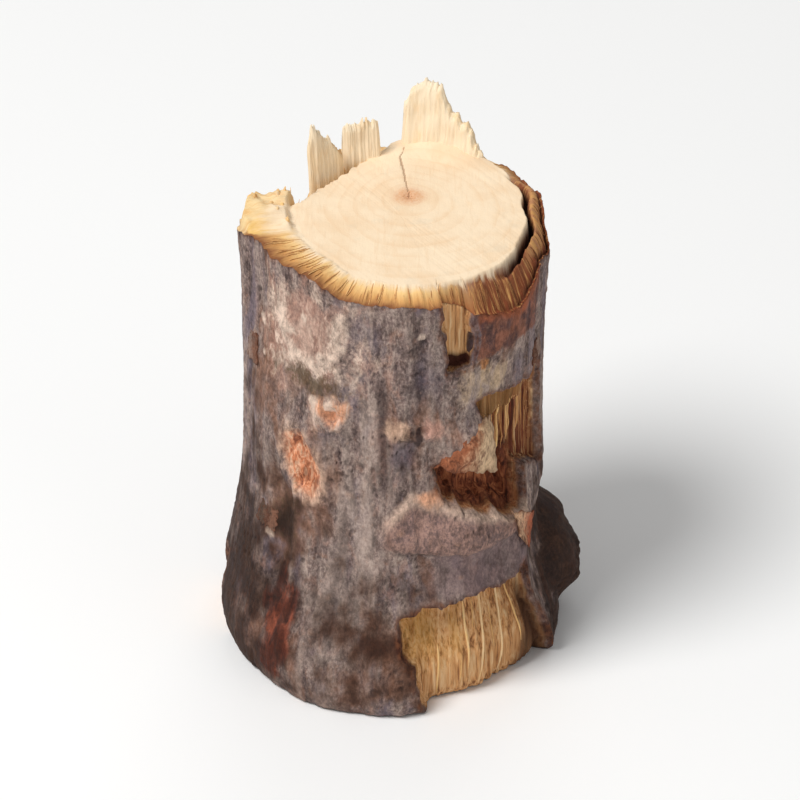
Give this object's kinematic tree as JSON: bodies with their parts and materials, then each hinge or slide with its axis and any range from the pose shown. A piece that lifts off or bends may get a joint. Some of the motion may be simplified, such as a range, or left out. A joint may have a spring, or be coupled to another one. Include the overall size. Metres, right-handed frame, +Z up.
{
  "type": "wood piece",
  "caption": "Short length of a mountain ash branch with ridged bark, sawn level at each end, with splinters standing at part of the upper rim.",
  "frame": {"origin": "middle of the lower cut, on which the piece stands", "axes": "+Z up along the branch towards the splintered cut, -Y towards the chip at the foot and the hollow in the bark, +X to the stub of a side shoot"},
  "size_m": [0.0446, 0.0469, 0.0669],
  "materials": {
    "bark": "rough grey-brown bark in long low ridges, with orange scars",
    "cut_wood": "pale cream sawn wood, dry and matt",
    "inner_bark": "golden tan fibres, dry and matt"
  },
  "bodies": {
    "root": {"wood_piece": "bark"}
  },
  "joints": []
}
